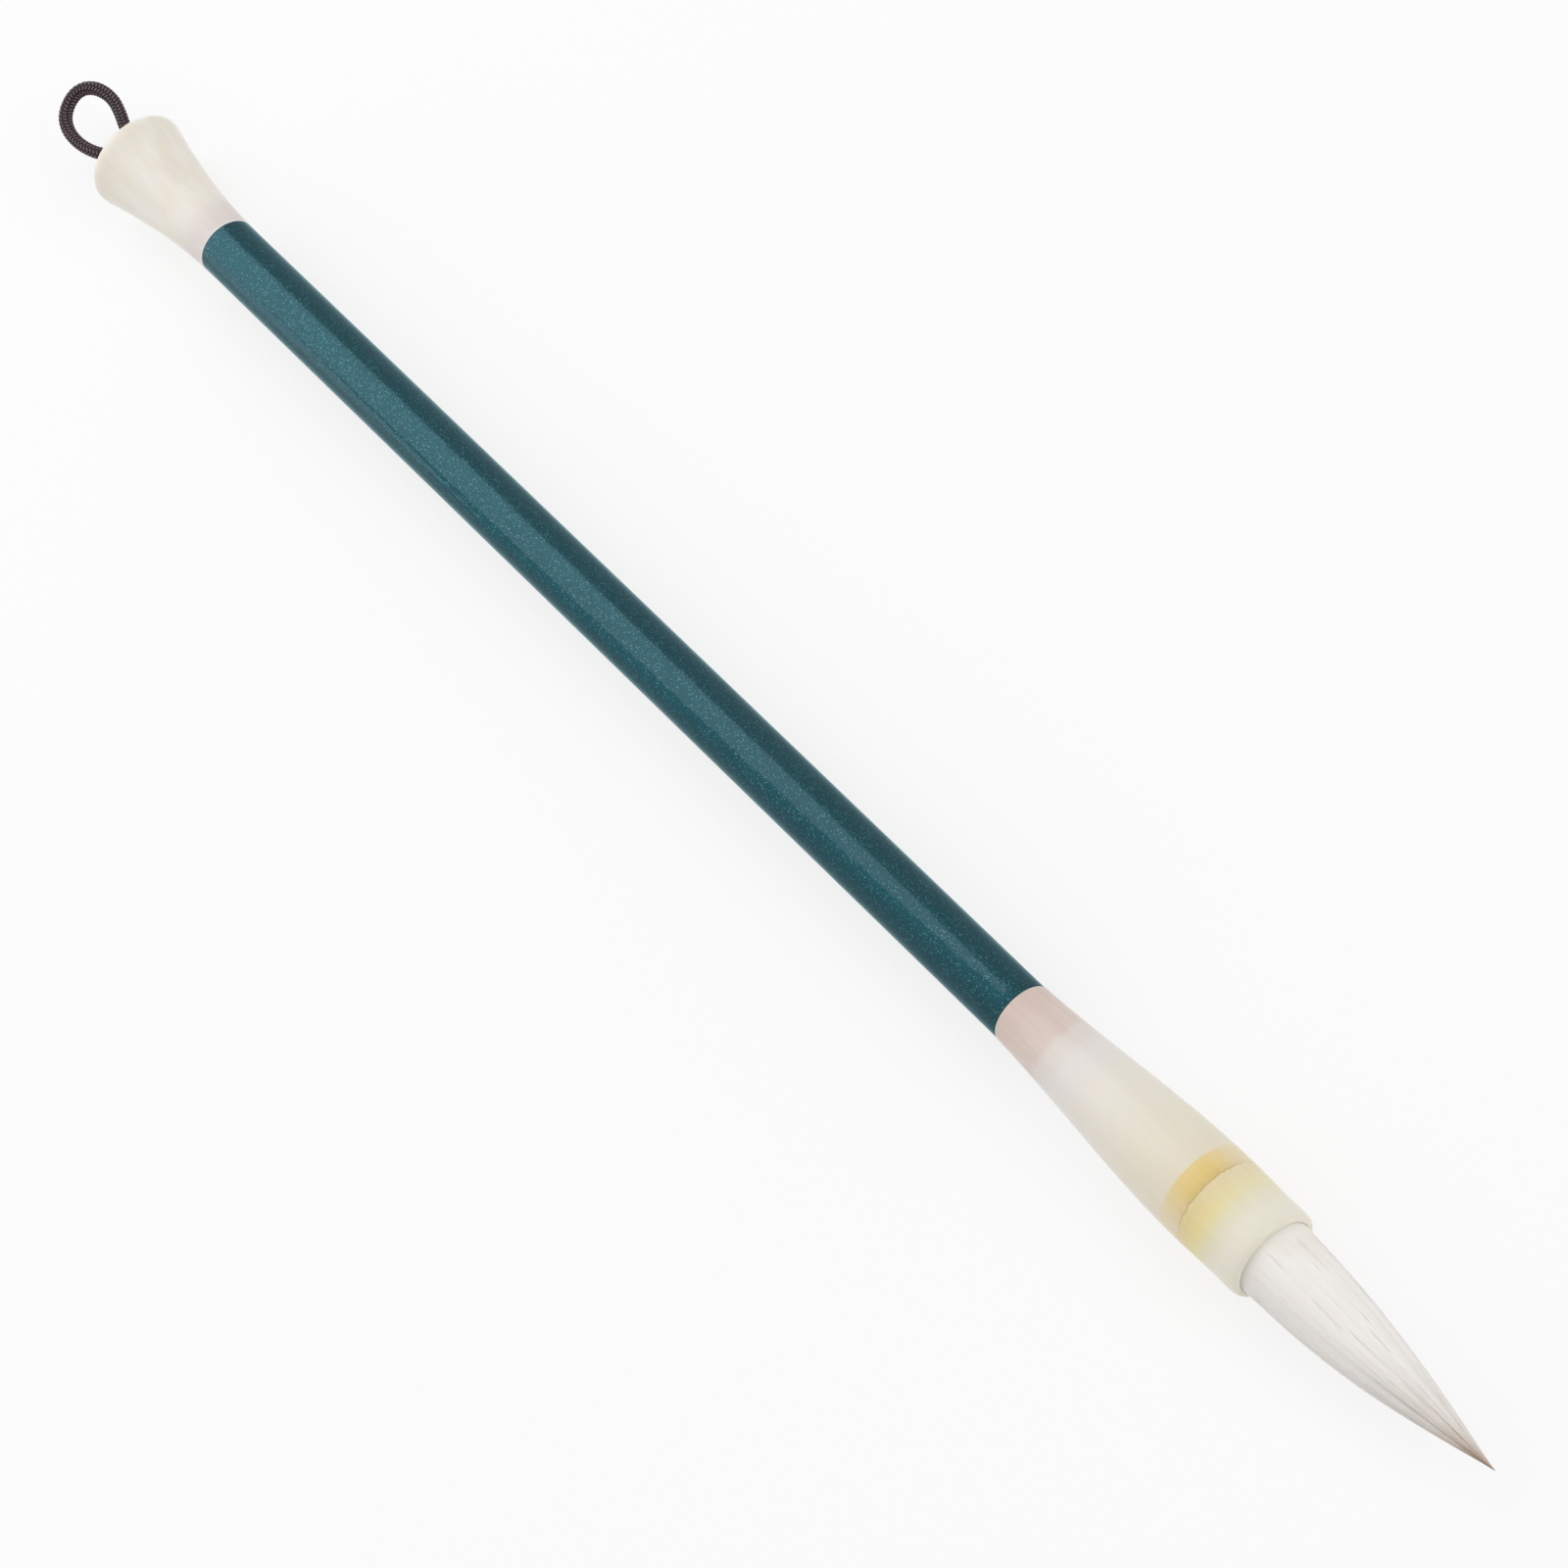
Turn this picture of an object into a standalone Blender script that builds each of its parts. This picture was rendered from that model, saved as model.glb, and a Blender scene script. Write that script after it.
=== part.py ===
"""Calligraphy brush: lacquered shaft, horn-coloured ferrule with a hair tuft, flared tail cap, hanging loop.

Lengths are in metres.  The brush lies along +X with its point at +X, and rests on the plane z = 0.
A station is a distance along the brush from the tail cap's end face; a radius is from the brush's axis.
"""

import math

import bmesh
import bpy
from mathutils import Matrix, Vector

# Roundness
SEGMENTS = 32  # facets round each turned piece
CORD_SIDES = 2  # bevel resolution of a cord or thread

# Fits
SEAM_GAP = 0.00005  # between the shaft's shoulder and the rim it meets
GLUE_GAP = 0.0001  # film of glue round a tenon or under the resin
HAIR_GAP = 0.00015  # between one bundle of hair and what wraps it
CORD_GAP = 0.00035  # between two lengths of cord, and between cord and hole

# Shaft
HANDLE_LENGTH = 0.180
HANDLE_RADIUS = 0.0045
SHOULDER_HEIGHT = 0.0011  # from the shaft's surface down to its tenons
FRONT_TENON_LENGTH = 0.0089
REAR_TENON_LENGTH = 0.0080
TENON_CHAMFER = 0.0004
SHAFT_CHAMFER = 0.0001

# Ferrule
FERRULE_LENGTH = 0.0492
RIM_STEP = 0.00005  # the ferrule and the cap stand this proud of the shaft
RIM_SLOPE = 0.035  # growth of the radius per metre where the ferrule leaves the shaft
BELLY_STATION = 0.037  # from the shaft's seam to the widest place
BELLY_SWELL = 0.00022  # belly radius beyond the mouth's
MOUTH_WALL = 0.0010
MOUTH_ROUNDING = 0.00065
SOCKET_DEPTH = 0.0140

# Hair
TUFT_RADIUS = 0.0055  # at the ferrule's mouth
TUFT_REACH = 0.0404  # from the mouth to the point
TUFT_FULLNESS = 1.13  # power of the parabola that the hair tapers by
COVER_WALL = 0.0012  # thickness of the outer hair at the mouth
COVER_SHARE = 0.86  # share of the reach that the outer hair covers
ROOT_SQUEEZE = 0.0006  # how far the binding pulls the root in
THREAD_DIAMETER = 0.0004
THREAD_TURNS = 4
THREAD_START = 0.0012  # from the hair's root to the first turn
POINTS_PER_TURN = 18
RESIN_THICKNESS = 0.0036
RESIN_CREEP = 0.0007  # height of the resin's rim round the hair's root

# Tail cap
CAP_LENGTH = 0.0240
CAP_FLARE = 0.00335  # end radius beyond the seam's
FLARE_POWER = 1.75
LIP_ROUNDING = 0.0010
HOLE_ROUNDING = 0.0004

# Cord
CORD_DIAMETER = 0.0019
TAIL_PITCH = 0.0025  # between the centres of the two tails
KNOT_LENGTH = 0.0050

# Route of the loop on one side: distance out of the cap's end face, and distance from the brush's axis
LOOP_ROUTE = [
    (0.00130, 0.00125),
    (0.00230, 0.00142),
    (0.00360, 0.00195),
    (0.00560, 0.00285),
    (0.00800, 0.00368),
    (0.01040, 0.00412),
    (0.01280, 0.00395),
    (0.01490, 0.00285),
    (0.01605, 0.00130),
    (0.01625, 0.00000),
]

# Sizes that follow from those above
tenon_radius = HANDLE_RADIUS - SHOULDER_HEIGHT
bore_radius = tenon_radius + GLUE_GAP
rim_radius = HANDLE_RADIUS + RIM_STEP
socket_radius = TUFT_RADIUS + HAIR_GAP
mouth_radius = socket_radius + MOUTH_WALL
belly_radius = mouth_radius + BELLY_SWELL
core_radius = TUFT_RADIUS - COVER_WALL
resin_radius = socket_radius - GLUE_GAP
cord_radius = CORD_DIAMETER / 2
hole_radius = TAIL_PITCH / 2 + cord_radius + CORD_GAP / 2

front_seam = CAP_LENGTH + HANDLE_LENGTH
mouth = front_seam + FERRULE_LENGTH
socket_floor = mouth - SOCKET_DEPTH
hair_root = socket_floor + RESIN_THICKNESS
tip = mouth + TUFT_REACH
knot_space = KNOT_LENGTH + 2 * CORD_GAP
cap_bore_floor = CAP_LENGTH - REAR_TENON_LENGTH - knot_space


# ---------------------------------------------------------------- outlines


def spread(first, last, count):
    """Evenly spaced numbers from first to last."""
    return [first + (last - first) * i / (count - 1) for i in range(count)]


def arc(station, radius, size, first_deg, last_deg, count=5):
    """Points on a circle about (station, radius); 0 degrees points to the tip, 90 away from the axis."""
    angles = [math.radians(a) for a in spread(first_deg, last_deg, count)]
    return [(station + size * math.cos(a), radius + size * math.sin(a)) for a in angles]


def ease(start, end, start_slope, end_slope, count):
    """Points on the cubic between two (station, radius) ends that leaves and arrives at the given slopes."""
    length = end[0] - start[0]
    points = []
    for t in spread(0.0, 1.0, count):
        radius = (
            (2 * t**3 - 3 * t**2 + 1) * start[1]
            + (t**3 - 2 * t**2 + t) * length * start_slope
            + (3 * t**2 - 2 * t**3) * end[1]
            + (t**3 - t**2) * length * end_slope
        )
        points.append((start[0] + length * t, radius))
    return points


def hair_outline(full_radius, last_share, count):
    """The tapering hair from the mouth towards the tip: a parabola raised to a power."""
    return [
        (mouth + TUFT_REACH * s, full_radius * (1 - s**2) ** TUFT_FULLNESS)
        for s in spread(0.0, last_share, count)
    ]


def root_outline(full_radius, count):
    """The hair inside the socket, from its root to the mouth, squeezed in under the binding."""
    root_radius = full_radius - ROOT_SQUEEZE
    binding_end = hair_root + THREAD_START + THREAD_TURNS * (THREAD_DIAMETER + HAIR_GAP)
    widening = ease((binding_end, root_radius), (mouth, full_radius), 0.0, 0.0, count)
    return [(hair_root, root_radius)] + widening


def cap_flare(station):
    """Radius of the tail cap's trumpet outline at a station."""
    return rim_radius + CAP_FLARE * (1 - station / CAP_LENGTH) ** FLARE_POWER


def cap_outline():
    """The tail cap's outer side from the shaft's seam down to its end face."""
    lip_slope = math.atan(CAP_FLARE * FLARE_POWER / CAP_LENGTH)
    flare_end = LIP_ROUNDING * (1 + math.sin(lip_slope))
    flare = [(s, cap_flare(s)) for s in spread(CAP_LENGTH, flare_end, 12)]
    centre = flare[-1][1] - LIP_ROUNDING * math.cos(lip_slope)
    lip = arc(LIP_ROUNDING, centre, LIP_ROUNDING, 90 - math.degrees(lip_slope), 180, 6)
    return flare + lip[1:]


# ---------------------------------------------------------------- scene, placing and finish


def clear_scene():
    """Removes what a new Blender scene starts with."""
    for thing in list(bpy.data.objects):
        bpy.data.objects.remove(thing, do_unlink=True)


def make_collection(name):
    """A new collection under the scene's own."""
    collection = bpy.data.collections.new(name)
    bpy.context.scene.collection.children.link(collection)
    return collection


def make_empty(name, collection, location, rotation=(0.0, 0.0, 0.0), parent=None):
    """An empty that carries other objects."""
    empty = bpy.data.objects.new(name, None)
    empty.empty_display_size = HANDLE_RADIUS
    empty.location = location
    empty.rotation_euler = rotation
    empty.parent = parent
    collection.objects.link(empty)
    return empty


def finish(name, colour, roughness, metallic=0.0):
    """A Principled material."""
    material = bpy.data.materials.new(name)
    material.use_nodes = True
    shader = material.node_tree.nodes["Principled BSDF"]
    shader.inputs["Base Color"].default_value = (*colour, 1.0)
    shader.inputs["Roughness"].default_value = roughness
    shader.inputs["Metallic"].default_value = metallic
    return material


def evaluated_mesh(thing):
    """The object's mesh with its modifiers or curve bevel worked out."""
    bpy.context.view_layer.update()
    graph = bpy.context.evaluated_depsgraph_get()
    return bpy.data.meshes.new_from_object(thing.evaluated_get(graph))


def round_shading(mesh, angle_deg=35):
    """Smooth shading with sharp edges kept."""
    mesh.shade_smooth()
    mesh.set_sharp_from_angle(angle=math.radians(angle_deg))


def turned(name, outline, station, material, axis, closed=False):
    """A piece turned on the lathe: its outline, (station, radius) from the tip's end down, spun round the axis.

    An open outline starts and ends on the axis.  A closed one makes a ring or a sleeve.
    """
    points = [(radius, 0.0, place - station) for place, radius in outline]
    edges = [(i, i + 1) for i in range(len(points) - 1)]
    if closed:
        edges.append((len(points) - 1, 0))
    mesh = bpy.data.meshes.new(name)
    mesh.from_pydata(points, edges, [])
    piece = bpy.data.objects.new(name, mesh)
    axis.users_collection[0].objects.link(piece)
    screw = piece.modifiers.new("Lathe", "SCREW")
    screw.axis = "Z"
    screw.angle = 2 * math.pi
    screw.steps = SEGMENTS
    screw.render_steps = SEGMENTS
    screw.use_merge_vertices = True
    screw.merge_threshold = 0.00001
    solid = evaluated_mesh(piece)
    piece.modifiers.clear()
    piece.data = solid
    solid.name = name
    bpy.data.meshes.remove(mesh)
    round_shading(solid)
    solid.materials.clear()
    solid.materials.append(material)
    piece.parent = axis
    piece.location = (0.0, 0.0, station)
    piece.rotation_euler = (0.0, 0.0, math.pi / SEGMENTS)
    return piece


def cord_curve(name, points, thickness, material, parent, radii=None):
    """A cord or thread: a straight-sided curve with a round bevel and filled ends."""
    curve = bpy.data.curves.new(name, "CURVE")
    curve.dimensions = "3D"
    curve.bevel_depth = thickness / 2
    curve.bevel_resolution = CORD_SIDES
    curve.use_fill_caps = True
    spline = curve.splines.new("POLY")
    spline.points.add(len(points) - 1)
    for i, point in enumerate(points):
        spline.points[i].co = (*point, 1.0)
        spline.points[i].radius = radii[i] if radii else 1.0
    curve.materials.append(material)
    piece = bpy.data.objects.new(name, curve)
    piece.parent = parent
    parent.users_collection[0].objects.link(piece)
    return piece


def smooth_route(route, steps):
    """A Catmull-Rom curve through the route's points, each stretch cut into the given number of steps."""
    ends = [2 * route[0] - route[1], *route, 2 * route[-1] - route[-2]]
    points = []
    for a, b, c, d in zip(ends, ends[1:], ends[2:], ends[3:]):
        for t in spread(0.0, 1.0, steps + 1)[:-1]:
            bend = (2 * a - 5 * b + 4 * c - d) * t**2 + (3 * b - a - 3 * c + d) * t**3
            points.append((2 * b + (c - a) * t + bend) / 2)
    points.append(route[-1])
    return points


# ---------------------------------------------------------------- sub-parts


def make_handle_shaft(axis):
    """The lacquered shaft with its two tenons."""
    lacquer = finish("teal_lacquer", (0.03, 0.12, 0.14), 0.3, 0.3)
    shaft_front = front_seam - SEAM_GAP
    shaft_rear = CAP_LENGTH + SEAM_GAP
    front_end = front_seam + FRONT_TENON_LENGTH
    rear_end = CAP_LENGTH - REAR_TENON_LENGTH
    outline = [
        (front_end, 0.0),
        (front_end, tenon_radius - TENON_CHAMFER),
        (front_end - TENON_CHAMFER, tenon_radius),
        (shaft_front, tenon_radius),
        (shaft_front, HANDLE_RADIUS - SHAFT_CHAMFER),
        (shaft_front - SHAFT_CHAMFER, HANDLE_RADIUS),
        (shaft_rear + SHAFT_CHAMFER, HANDLE_RADIUS),
        (shaft_rear, HANDLE_RADIUS - SHAFT_CHAMFER),
        (shaft_rear, tenon_radius),
        (rear_end + TENON_CHAMFER, tenon_radius),
        (rear_end, tenon_radius - TENON_CHAMFER),
        (rear_end, 0.0),
    ]
    return turned("handle_shaft", outline, CAP_LENGTH, lacquer, axis)


def make_ferrule(axis):
    """The cup that joins hair and shaft: a socket from the mouth, a blind bore from the shaft's side."""
    horn = finish("ferrule_horn", (0.80, 0.74, 0.62), 0.35)
    bore_floor = front_seam + FRONT_TENON_LENGTH + GLUE_GAP
    belly = (front_seam + BELLY_STATION, belly_radius)
    rim = (front_seam, rim_radius)
    rounding = arc(mouth - MOUTH_ROUNDING, mouth_radius - MOUTH_ROUNDING, MOUTH_ROUNDING, 0, 90)
    belly_to_mouth = ease(rounding[-1], belly, 0.0, 0.0, 4)
    belly_to_rim = ease(belly, rim, 0.0, RIM_SLOPE, 13)
    outline = [
        (socket_floor, 0.0),
        (socket_floor, socket_radius),
        (mouth, socket_radius),
        *rounding,
        *belly_to_mouth[1:],
        *belly_to_rim[1:],
        (front_seam, bore_radius),
        (bore_floor, bore_radius),
        (bore_floor, 0.0),
    ]
    return turned("ferrule", outline, front_seam, horn, axis)


def make_root_resin(axis):
    """Resin cast in the socket's floor, with a rim that creeps up round the hair's root."""
    amber = finish("amber_resin", (0.72, 0.50, 0.20), 0.3)
    dish_radius = TUFT_RADIUS - ROOT_SQUEEZE + HAIR_GAP
    dish_floor = hair_root - GLUE_GAP
    outline = [
        (dish_floor, 0.0),
        (dish_floor, dish_radius),
        (hair_root + RESIN_CREEP, dish_radius),
        (hair_root + RESIN_CREEP, resin_radius),
        (socket_floor + GLUE_GAP, resin_radius),
        (socket_floor + GLUE_GAP, 0.0),
    ]
    return turned("root_resin", outline, socket_floor, amber, axis)


def make_root_binding(axis):
    """Thread wound round the hair's root in close turns."""
    thread = finish("binding_thread", (0.70, 0.66, 0.58), 0.8)
    wind_radius = TUFT_RADIUS - ROOT_SQUEEZE + HAIR_GAP + THREAD_DIAMETER / 2
    pitch = THREAD_DIAMETER + HAIR_GAP
    start = hair_root + THREAD_START
    points = []
    for i in range(THREAD_TURNS * POINTS_PER_TURN + 1):
        turn = i / POINTS_PER_TURN
        angle = 2 * math.pi * turn
        side = (wind_radius * math.cos(angle), wind_radius * math.sin(angle))
        points.append((*side, start + pitch * turn))
    return cord_curve("root_binding", points, THREAD_DIAMETER, thread, axis)


def make_tuft_core(axis):
    """The inner hair, which is the longer and makes the point."""
    hair = finish("core_hair", (0.62, 0.54, 0.44), 0.6)
    tapering = hair_outline(core_radius, 1.0, 13)
    rooted = root_outline(core_radius, 5)
    outline = tapering[::-1] + rooted[-2::-1] + [(hair_root, 0.0)]
    return turned("tuft_core", outline, hair_root, hair, axis)


def make_tuft_cover(axis):
    """The outer hair: a sleeve round the core that thins out before the point."""
    hair = finish("cover_hair", (0.86, 0.84, 0.79), 0.6)
    outer = root_outline(TUFT_RADIUS, 5)[:-1] + hair_outline(TUFT_RADIUS, COVER_SHARE, 11)
    inner = [
        (station, radius + HAIR_GAP)
        for station, radius in root_outline(core_radius, 5)[:-1]
        + hair_outline(core_radius, COVER_SHARE, 11)
    ]
    return turned("tuft_cover", outer[::-1] + inner, hair_root, hair, axis, closed=True)


def make_tail_cap(axis):
    """The flared cap: a bore for the tenon and the knot, and a hole for the cord through its end face."""
    horn = finish("cap_horn", (0.82, 0.77, 0.68), 0.35)
    hole_mouth = arc(HOLE_ROUNDING, hole_radius + HOLE_ROUNDING, HOLE_ROUNDING, 180, 270, 4)
    outline = [
        *cap_outline(),
        *hole_mouth,
        (cap_bore_floor, hole_radius),
        (cap_bore_floor, bore_radius),
        (CAP_LENGTH, bore_radius),
    ]
    return turned("tail_cap", outline, 0.0, horn, axis, closed=True)


def make_hanging_loop(pivot, material):
    """The free loop of the cord, from one rounded leg end on the fold axis round to the other."""
    pivot_out = -pivot.location.z
    side = [Vector((0.0, y, -out + pivot_out)) for out, y in LOOP_ROUTE]
    route = side + [Vector((0.0, -p.y, p.z)) for p in side[-2::-1]]
    path = smooth_route(route, 2)
    ends = [math.radians(a) for a in (75, 50, 25)]
    rounded = [Vector((0.0, side[0].y, cord_radius * math.sin(a))) for a in ends]
    shrink = [math.cos(a) for a in ends]
    mirrored = [Vector((0.0, -p.y, p.z)) for p in rounded[::-1]]
    points = rounded + path + mirrored
    radii = shrink + [1.0] * len(path) + shrink[::-1]
    return cord_curve("hanging_loop", points, CORD_DIAMETER, material, pivot, radii)


def make_loop_tails(axis, material):
    """The cord's two ends, side by side in the cap's hole from its end face to the knot."""
    for name, y in (("loop_tail_left", TAIL_PITCH / 2), ("loop_tail_right", -TAIL_PITCH / 2)):
        run = [(0.0, y, s) for s in spread(0.0, cap_bore_floor, 3)]
        cord_curve(name, run, CORD_DIAMETER, material, axis)


def make_loop_knot(axis, material):
    """The knot that fills the end of the cap's bore, too wide to be pulled through the hole."""
    width = bore_radius - CORD_GAP
    shape = bmesh.new()
    squash = Matrix.Diagonal((width, width, KNOT_LENGTH / 2, 1.0))
    bmesh.ops.create_uvsphere(shape, u_segments=16, v_segments=10, radius=1.0, matrix=squash)
    mesh = bpy.data.meshes.new("loop_knot")
    shape.to_mesh(mesh)
    shape.free()
    round_shading(mesh)
    mesh.materials.append(material)
    knot = bpy.data.objects.new("loop_knot", mesh)
    axis.users_collection[0].objects.link(knot)
    knot.parent = axis
    knot.location = (0.0, 0.0, cap_bore_floor + knot_space / 2)
    return knot


def build():
    """The whole brush."""
    clear_scene()
    brush = make_collection("calligraphy_brush")
    lip_radius = max(radius for _, radius in cap_outline())
    axis_height = lip_radius * math.cos(math.pi / SEGMENTS)
    axis = make_empty("brush_axis", brush, (-tip / 2, 0.0, axis_height), (0.0, math.pi / 2, 0.0))
    make_handle_shaft(axis)
    make_ferrule(axis)
    make_root_resin(axis)
    make_root_binding(axis)
    make_tuft_core(axis)
    make_tuft_cover(axis)
    make_tail_cap(axis)
    braid = finish("braided_cord", (0.045, 0.03, 0.035), 0.8)
    make_loop_tails(axis, braid)
    make_loop_knot(axis, braid)
    pivot = make_empty("loop_pivot", brush, (0.0, 0.0, -LOOP_ROUTE[0][0]), parent=axis)
    make_hanging_loop(pivot, braid)
    bpy.context.view_layer.update()


build()
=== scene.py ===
# %% [markdown]
# # Dressing a calligraphy brush
#
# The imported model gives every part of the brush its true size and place, as plain solids: a shaft,
# a ferrule that holds the hair, a flared tail cap and a cord loop.  This lesson gives each of them the
# surface of the real thing.  All new pieces are worked out with numpy as grids of points, so the same
# few lines of arithmetic make a lacquered stick, a pointed tuft and a braided cord.

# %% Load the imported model
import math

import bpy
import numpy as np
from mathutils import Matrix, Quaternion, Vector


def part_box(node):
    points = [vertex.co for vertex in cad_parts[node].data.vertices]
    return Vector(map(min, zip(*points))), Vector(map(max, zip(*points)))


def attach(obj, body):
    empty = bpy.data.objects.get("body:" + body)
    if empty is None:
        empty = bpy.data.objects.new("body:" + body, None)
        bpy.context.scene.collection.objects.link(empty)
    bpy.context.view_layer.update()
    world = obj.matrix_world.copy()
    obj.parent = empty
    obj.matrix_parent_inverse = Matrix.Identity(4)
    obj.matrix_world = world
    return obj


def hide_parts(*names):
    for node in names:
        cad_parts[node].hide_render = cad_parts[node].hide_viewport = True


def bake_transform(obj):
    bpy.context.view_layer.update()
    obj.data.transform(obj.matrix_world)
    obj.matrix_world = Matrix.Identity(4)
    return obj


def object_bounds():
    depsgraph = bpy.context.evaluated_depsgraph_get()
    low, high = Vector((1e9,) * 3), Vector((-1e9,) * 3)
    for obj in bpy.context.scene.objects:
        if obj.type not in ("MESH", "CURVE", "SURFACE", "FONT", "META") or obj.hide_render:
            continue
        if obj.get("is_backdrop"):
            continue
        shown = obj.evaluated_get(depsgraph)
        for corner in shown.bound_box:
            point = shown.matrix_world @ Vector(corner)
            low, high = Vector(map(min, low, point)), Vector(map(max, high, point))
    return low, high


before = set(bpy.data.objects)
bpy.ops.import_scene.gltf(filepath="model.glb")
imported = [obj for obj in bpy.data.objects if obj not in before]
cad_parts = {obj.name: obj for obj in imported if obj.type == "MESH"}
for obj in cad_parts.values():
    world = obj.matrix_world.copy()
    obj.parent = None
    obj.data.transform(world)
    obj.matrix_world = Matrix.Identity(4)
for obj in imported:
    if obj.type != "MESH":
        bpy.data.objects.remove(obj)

# %% [markdown]
# ## Where things are
#
# Nothing here is placed by eye.  The solids say where the brush lies: along +X, with its axis at one
# height above the floor.  The places where one material meets the next are the ends of their boxes.
# The box of the whole model is kept as well, because the finished brush should keep to it.

cad_box = [list(corner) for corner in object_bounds()]
shaft_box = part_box("handle_shaft")
axis_height = (shaft_box[0].z + shaft_box[1].z) / 2
tail_end, rear_seam = (corner.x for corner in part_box("tail_cap"))
front_seam, mouth = (corner.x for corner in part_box("ferrule"))
hair_root, point = (corner.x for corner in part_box("tuft_core"))
print(f"axis {axis_height * 1000:.2f} mm up; seams at {rear_seam:.4f} and {front_seam:.4f} m;",
      f"hair from {mouth:.4f} m to {point:.4f} m")

# %% [markdown]
# ## The camera
#
# A long lens from well above, standing on the tip's side, makes the hair look slightly larger than the
# tail, as it does when one looks along a brush on a table.  The camera is rolled so that the brush crosses
# the picture from corner to corner.  It comes first, and the cord right after it.

# %% Make the camera
def show(name, data):
    """An object made of that data, in the scene."""
    made = bpy.data.objects.new(name, data)
    bpy.context.scene.collection.objects.link(made)
    return made


CAMERA_DISTANCE = 0.78  # from the middle of the shaft
CAMERA_RISE = math.radians(56.5)
CAMERA_ROLL = math.radians(46)
AIM_AHEAD = 0.0405  # of the middle of the shaft, so that both ends are as far from the picture's edge
LENS = 131

shaft_middle = Vector(((rear_seam + front_seam) / 2, 0, axis_height))
away = Vector((math.cos(CAMERA_RISE), 0, math.sin(CAMERA_RISE)))
camera = show("camera", bpy.data.cameras.new("camera"))
camera.data.lens = LENS
camera.location = shaft_middle + CAMERA_DISTANCE * away
line_of_sight = shaft_middle + Vector((AIM_AHEAD, 0, 0)) - camera.location
camera.rotation_mode = "QUATERNION"
upright = line_of_sight.to_track_quat("-Z", "Y")
camera.rotation_quaternion = upright @ Quaternion((0, 0, 1), -CAMERA_ROLL)
bpy.context.scene.camera = camera
print(f"camera at {tuple(round(v, 3) for v in camera.location)}, {LENS} mm lens")

# %% [markdown]
# ## One helper for every mesh
#
# A tube, a turned piece and a tuft of hair are all the same thing to Blender: rings of points, one
# after another, with four-sided faces between neighbours.  `skin` takes such a grid and closes it,
# either with a fan of triangles over each end or, for a sleeve with a hole right through, by joining
# the last ring to the first.  Marks are numbers kept at each point, which a material can read later.

# %% Skin a grid of points
def skin(name, rings, marks=(), sleeve=False):
    """A closed mesh over rings of points, an array of (rings, points in a ring, 3).

    Face (i, j) joins points j and j + 1 of ring i to the same two of ring i + 1.  It looks outward
    when a ring turns right-handed about the direction in which the rings follow one another.
    """
    number = np.arange(rings.shape[0] * rings.shape[1]).reshape(rings.shape[:2])
    here, there = (number, np.roll(number, -1, 0)) if sleeve else (number[:-1], number[1:])
    quads = np.stack([here, np.roll(here, -1, 1), np.roll(there, -1, 1), there], -1)
    faces = quads.reshape(-1, 4).tolist()
    points = rings.reshape(-1, 3)
    if not sleeve:
        first, last = number[0], number[-1]
        start, end = np.full_like(first, len(points)), np.full_like(last, len(points) + 1)
        faces += np.stack([np.roll(first, -1), first, start], -1).tolist()
        faces += np.stack([last, np.roll(last, -1), end], -1).tolist()
        points = np.vstack([points, rings[0].mean(0), rings[-1].mean(0)])
    mesh = bpy.data.meshes.new(name)
    mesh.from_pydata(points.tolist(), [], faces)
    mesh.shade_smooth()
    for mark, values in dict(marks).items():
        remember(mesh, mark, values, fans=not sleeve)
    return show(name, mesh)


def remember(mesh, mark, values, fans=False):
    """Keeps a number, or three, at every point; the middle of an end fan gets its ring's mean."""
    kind, field = ("FLOAT", "value") if values.ndim == 2 else ("FLOAT_VECTOR", "vector")
    flat = values.reshape(values.shape[0] * values.shape[1], -1)
    if fans:
        flat = np.vstack([flat, values[0].mean(0, keepdims=True).reshape(1, -1)])
        flat = np.vstack([flat, values[-1].mean(0, keepdims=True).reshape(1, -1)])
    layer = mesh.attributes.new(mark, kind, "POINT")
    layer.data.foreach_set(field, flat.astype(np.float32).ravel())


def smooth_through(places, step):
    """A smooth line through the places, with its points about a step apart.

    Between two places runs the cubic of Hermite: its ends are the places, and its directions there
    are the mean of the directions to the places before and after.
    """
    places = np.asarray(places, float)
    hops = np.linalg.norm(np.diff(places, axis=0), axis=1)
    walked = np.concatenate([[0], np.cumsum(hops)])
    heading = np.gradient(places, walked, axis=0)
    at = np.linspace(0, walked[-1], round(walked[-1] / step) + 1)
    i = np.clip(np.searchsorted(walked, at, side="right") - 1, 0, len(hops) - 1)
    hop = hops[i][:, None]
    t = (at - walked[i])[:, None] / hop
    leaving = (2 * t**3 - 3 * t**2 + 1) * places[i] + (t**3 - 2 * t**2 + t) * hop * heading[i]
    arriving = (3 * t**2 - 2 * t**3) * places[i + 1] + (t**3 - t**2) * hop * heading[i + 1]
    return leaving + arriving


print("helpers ready: skin, remember, smooth_through")

# %% [markdown]
# ## The cord
#
# The brush hangs from a loop of thin braided cord.  Both ends go through the hole in the cap's end
# face and are knotted inside, so the whole thing is one length of cord.  Its route is written as the
# distance out of the cap and the distance from the brush's axis, once for each side: the loop lies a
# little askew, fuller on one side than on the other, as a soft cord does after it has hung.

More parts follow.
